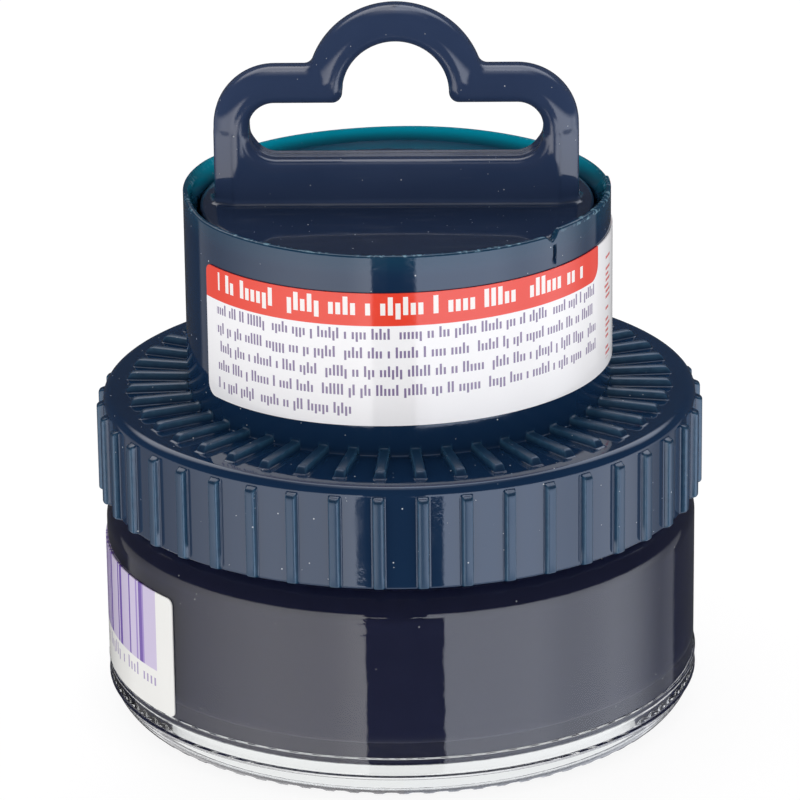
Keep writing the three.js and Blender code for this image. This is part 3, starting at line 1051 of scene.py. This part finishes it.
def bar_section(lower):
    """Section of the bar as (distance from the slot, depth). The slot's edge has a small
    rounding and the outside a large one, which is a plain chamfer on the lower legs."""
    edge_width, edge_depth = 0.9, 1.1
    inner = arc(0, 0, 1, math.pi, 1.5 * math.pi, 6)
    front = inner * [edge_width, edge_depth] + [edge_width, edge_depth - HALF_DEPTH]
    if lower:
        shares = (0, 0.08, 0.85, 1)
        t = np.linspace(0, 1, 15)
        outer_x = np.interp(t, shares, (1.3, 1.5, 3.42, BAR))
        outer_y = np.interp(t, shares, (-HALF_DEPTH, -2.28, -1.42, -0.95))
        outside = np.column_stack([outer_x, outer_y])
    else:
        flat_end, round_depth, squareness = 0.95, 2.05, 0.82
        outer = arc(0, 0, 1, -0.5 * math.pi, 0, 14)
        outer = np.sign(outer) * np.abs(outer) ** squareness
        outside = outer * [BAR - flat_end, round_depth] + [flat_end, round_depth - HALF_DEPTH]
    half = np.concatenate([front, outside])
    return np.concatenate([half, half[::-1] * [1, -1]])


def swept(inner, outer, section_at):
    """Rows of a bar between two lines in the XZ plane."""
    rows = []
    for a, b in zip(inner, outer):
        towards = unit(b - a)
        width = np.linalg.norm(b - a)
        section = section_at(a[1])
        across = section[:, :1] * width / BAR
        flat = a + across * towards
        rows.append(np.column_stack([flat[:, 0], section[:, 1], flat[:, 1]]))
    return rows


def ring_bar():
    upper, lower = bar_section(False), bar_section(True)
    inner, outer = both_halves(cloud_half(0)), both_halves(cloud_half(BAR))

    def section_at(z):
        """The chamfered legs end at a witness line and turn into the rounded bar above it."""
        return lower + (upper - lower) * np.clip((z - WITNESS) / 0.3, 0, 1)

    return new_piece("ring", *skin(swept(inner, outer, section_at), ends=True))


def web_plate():
    """The low wall between the legs. Its rounded top edge curves up into them, and two thin
    flow ridges run along it."""
    edge = HANDLE_HALF - BAR
    corner_x, corner_z = edge - SLOT_CORNER, SLOT_BOTTOM + SLOT_CORNER
    half = arc(corner_x, corner_z, SLOT_CORNER, 0, -math.pi / 2, 14)
    rows = []
    depth = HALF_DEPTH - 0.02
    edge_width, edge_depth = 0.7, 0.9
    ridge_height, ridge_half = 0.16, 0.28

    def row(x, z, down, reach):
        rounding = arc(0, 0, 1, math.pi, 1.5 * math.pi, 6) * [edge_width, edge_depth]
        rounding += [edge_width, edge_depth - depth]
        half_section = np.concatenate([rounding, [[reach, -depth]]])
        proud = ridge_height * smooth(-down[1], 0.1, 0.6)
        ridges = []
        for middle in (1.05, 0.15):
            ridges += [
                (0, middle + ridge_half),
                (-proud, middle + ridge_half / 2),
                (-proud, middle - ridge_half / 2),
                (0, middle - ridge_half),
            ]
        section = np.concatenate([half_section, half_section[::-1] * [1, -1], ridges])
        flat = np.array([x, z]) + section[:, :1] * down
        rows.append(np.column_stack([flat[:, 0], section[:, 1], flat[:, 1]]))

    limit_x, limit_z = edge + 1.7, PLUG_TOP - 0.6
    for sign in (1, -1):
        points = half if sign == 1 else half[::-1] * [-1, 1]
        for x, z in points:
            down = unit(np.array([x - sign * corner_x, z - corner_z]))
            to_side = (limit_x - corner_x) / max(abs(down[0]), HAIR)
            to_base = (corner_z - limit_z) / max(-down[1], HAIR)
            row(x, z, down, min(to_side, to_base) - SLOT_CORNER)
    return new_piece("web", *skin(rows, ends=True))


def foot_fillet():
    """The fillet all round the handle's foot, where it stands on the plug."""
    section = bar_section(True)
    right = section[section[:, 0] > BAR / 3] + [HANDLE_HALF - BAR, 0]
    outline = np.concatenate([right, right[::-1] * [-1, 1]])
    edges = np.roll(outline, -1, axis=0) - outline
    edges /= np.linalg.norm(edges, axis=1)[:, None]
    normals = np.column_stack([edges[:, 1], -edges[:, 0]])
    normals = normals + np.roll(normals, 1, axis=0)
    normals /= np.linalg.norm(normals, axis=1)[:, None]
    rows = []
    for out, up in [(1, -0.5)] + [
        (1 - math.sin(t), 1 - math.cos(t)) for t in np.linspace(0, math.pi / 2, 8)
    ]:
        flat = outline + normals * (out * FOOT_FILLET - 0.02)
        level = PLUG_TOP + up * FOOT_FILLET
        rows.append(np.column_stack([flat, np.full(len(flat), level)]))
    return new_piece("fillet", *skin(rows, ends=True))


def plug_disc():
    under = TAPE_HIGH.z + 0.05
    inner = PLUG - 1.35
    profile = rounded_line([
        (0, under),
        (inner, under, 0.4),
        (inner, HANDLE_LOW.z, 0.3),
        (PLUG, HANDLE_LOW.z, 0.4),
        (PLUG, PLUG_TOP, 0.4),
        (0, PLUG_TOP),
    ], step=12)
    return new_piece("plug", *skin(lathe(profile, 200)))


def gate_mark():
    """The stub that the mould's gate leaves on top of the arch."""
    top = HANDLE_HIGH.z
    radius, sunk = 0.42, 0.5
    profile = [
        (0, top - sunk),
        (radius, top - sunk),
        (radius, top - 0.08),
        (radius - 0.12, top),
        (0, top + 0.02),
    ]
    piece = new_piece("gate", *skin(lathe(profile, 24)))
    piece.data.transform(Matrix.Translation((0, -0.6 * MM, 0)))
    return piece


def union(target, *others):
    """Joins closed meshes into one closed body."""
    for other in others:
        cut = target.modifiers.new("join", "BOOLEAN")
        cut.operation = "UNION"
        cut.solver = "EXACT"
        cut.object = other
    graph = bpy.context.evaluated_depsgraph_get()
    mesh = bpy.data.meshes.new_from_object(target.evaluated_get(graph))
    target.modifiers.clear()
    target.data = mesh
    for other in others:
        bpy.data.objects.remove(other)
    work = bmesh.new()
    work.from_mesh(mesh)
    weld = 0.001 * MM
    bmesh.ops.remove_doubles(work, verts=work.verts, dist=weld)
    work.to_mesh(mesh)
    work.free()
    mesh.shade_smooth()
    mesh.set_sharp_from_angle(angle=math.radians(32))
    return target


def build_handle():
    """The plug turns freely in the well, and here it sits a little askew of the jar's front."""
    piece = union(ring_bar(), web_plate(), foot_fillet(), plug_disc(), gate_mark())
    piece.name = "handle_moulding"
    piece.data.transform(Matrix.Rotation(math.radians(HANDLE_YAW), 4, "Z"))
    return place(piece, handle_plastic(), "applicator", "applicator_handle", "handle_plastic")


def build_tape():
    low, high, radius = TAPE_LOW.z, TAPE_HIGH.z, TAPE_HIGH.x
    columns = 160
    angle = azimuths(columns)
    ragged = 0.06 * np.sin(angle * 23) * np.sin(angle * 7 + 1)
    profile = (
        (0, low),
        (radius * 0.5, low),
        (radius - 0.1 + ragged, low),
        (radius + ragged, (low + high) / 2),
        (radius - 0.1 + ragged, high),
        (radius * 0.5, high),
        (0, high),
    )
    piece = new_piece("tape_disc", *skin(lathe(profile, columns)))
    return place(piece, tape(), "applicator", "pad_adhesive", "adhesive")


def build_sponge():
    """The foam bulges a little between its two pinched faces and is pitted with open cells."""
    low, high, radius = SPONGE_LOW.z, SPONGE_HIGH.z, SPONGE_HIGH.x
    profile = rounded_line([
        (0, low),
        (radius - 0.25, low, 2.2),
        (radius - 0.25, high, 1.2),
        (0, high),
    ], step=10)
    angle = azimuths(260)
    rows = []
    for r, z in subdivided(profile, 0.45):
        if r < HAIR:
            rows.append(ring(0, z, angle))
            continue
        bulge = 0.22 * math.sin(math.pi * (z - low) / (high - low))
        wave = 0.10 * np.sin(5 * angle + 0.4 * z) + 0.07 * np.sin(11 * angle - 0.9 * z)
        side = smooth(r, radius - 3, radius - 0.5)
        rows.append(ring(r + (bulge + wave - 0.1) * side, z, angle))
    verts, faces = skin(rows)
    middle = np.array([0, 0, (low + high) / 2])
    seeds = np.random.default_rng(7)
    pit_count = 1500
    for _ in range(pit_count):
        centre = verts[seeds.integers(len(verts))]
        size = seeds.uniform(0.45, 0.9)
        near = np.linalg.norm(verts - centre, axis=1)
        pit = np.exp(-((near / size) ** 2)) * size * 0.42
        inward = middle - verts
        inward[:, :2] *= 0.8
        verts = verts + inward / np.linalg.norm(inward, axis=1)[:, None] * pit[:, None]
    piece = new_piece("sponge_body", verts, faces, sharp=80)
    return place(piece, foam(), "applicator", "sponge_pad", "sponge")


# ------------------------------------------------------------------ stage, light and camera

def light_table():
    """A plain pale floor that glows softly, as a light table does."""
    size = 2.5
    mesh = bpy.data.meshes.new("floor")
    corners = [(-size, -size, 0), (size, -size, 0), (size, size, 0), (-size, size, 0)]
    mesh.from_pydata(corners, [], [(0, 1, 2, 3)])
    floor = bpy.data.objects.new("floor", mesh)
    bpy.context.scene.collection.objects.link(floor)
    floor.location.z = -0.0001
    floor.visible_glossy = False
    look = Look("floor_white")
    soft = look.noise(120.0, 2)
    look.set(
        Base_Color=soft.mix((0.16, 0.16, 0.16), (0.18, 0.18, 0.18)),
        Roughness=0.9,
        Specular_IOR_Level=0.0,
        Emission_Color=(1.0, 1.0, 1.0),
        Emission_Strength=0.88,
    )
    mesh.materials.append(look.material)


def soft_boxes(azimuth, elevation):
    """Brightness of the two soft boxes by direction, in degrees from the front. They stand low
    at both sides, with a dark gap between them in front. A flag widens the gap where the skirt
    mirrors it, and on the right also for the jar. The handle's walls see the gap narrower."""
    side = azimuth.abs()
    on_right = azimuth.above(0.0)
    on_left = 1.0 - on_right
    flag = elevation.rise(-20.75, -21.1)
    gap_left = 14.0 + 3.0 * flag * elevation.rise(-22.45, -22.35)
    gap_right = 9.1 + 7.1 * flag
    narrow = elevation.rise(-18.25, -18.05) * elevation.rise(-15.2, -15.8)
    gap = (on_left * gap_left + on_right * gap_right) * (1.0 - 0.6 * narrow)
    left = 2.05 * side.rise(122, 45) + 0.75 * side.rise(30, 14)
    right = 2.00 * side.rise(124, 86) + 0.70 * side.rise(72, 50)
    strength = 0.38 + on_left * left + on_right * right
    upright = elevation.rise(-38, -30) * elevation.rise(-1, -9)
    return upright * side.rise(136, 132) * (side - gap).rise(-0.6, 0.6) * strength


def studio():
    """Only reflections see the soft boxes, a softer light overhead and the table. Diffuse
    surfaces see a dome that is whitest near the table and behind, and glass is seen against
    plain white."""
    world = bpy.data.worlds.new("studio")
    bpy.context.scene.world = world
    world.use_nodes = True
    world.cycles.sampling_method = "NONE"
    tree = world.node_tree
    background = tree.nodes["Background"]
    coordinates = tree.nodes.new("ShaderNodeTexCoord")
    split = tree.nodes.new("ShaderNodeSeparateXYZ")
    tree.links.new(coordinates.outputs["Generated"], split.inputs[0])
    x, y, z = (Field(tree, out) for out in split.outputs)
    to_degrees = 180 / math.pi
    azimuth = x.math("ARCTAN2", y * -1.0) * to_degrees
    elevation = z.math("ARCSINE") * to_degrees

    away_from_front = 1.0 - azimuth.abs().rise(140, 110)
    overhead = elevation.rise(26, 36) * away_from_front * 2.2 + elevation.rise(58, 85) * 1.3
    table = elevation.rise(-32, -42) * 1.1
    mirrored = soft_boxes(azimuth, elevation) + overhead + table + 0.06
    behind = 0.55 * y.rise(0.1, 0.7) * z.rise(-0.3, 0.2)
    dome = 1.04 - 0.45 * z.most(0.0) + behind

    rays = tree.nodes.new("ShaderNodeLightPath")
    glossy, through, diffuse = (
        Field(tree, rays.outputs[f"Is {kind} Ray"]) for kind in ("Glossy", "Transmission", "Diffuse")
    )
    seen = glossy * (1.0 - through)
    plain = diffuse * dome + (1.0 - diffuse)
    light = seen * mirrored + (1.0 - seen) * plain
    tint = (seen * azimuth.above(0.0)).mix((1.0, 0.985, 1.0), (0.96, 1.0, 1.10))
    feed(tree, background.inputs, {"Strength": light, "Color": tint})


def camera():
    """A long lens that looks down at the jar from in front, held very slightly askew."""
    data = bpy.data.cameras.new("camera")
    view = bpy.data.objects.new("camera", data)
    bpy.context.scene.collection.objects.link(view)
    bpy.context.scene.camera = view
    data.sensor_width = 36
    data.lens = 233.7
    data.shift_x = 0.00075
    distance, elevation, roll = 0.5332, 0.3526, 0.0118
    target = Vector((0, 0, 31.4 * MM))
    back = Vector((0, -math.cos(elevation), math.sin(elevation)))
    right = Vector((1, 0, 0))
    up = back.cross(right)
    tilted_right = right * math.cos(roll) - up * math.sin(roll)
    tilted_up = right * math.sin(roll) + up * math.cos(roll)
    matrix = Matrix((tilted_right, tilted_up, back)).transposed().to_4x4()
    matrix.translation = target + back * distance
    view.matrix_world = matrix
    data.clip_start, data.clip_end = 0.01, 10


build_jar()
build_cream()
build_jar_label()
build_liner()
build_cap()
build_cup_label()
build_handle()
build_tape()
build_sponge()
light_table()
studio()
camera()
bpy.context.scene.view_settings.view_transform = "Standard"
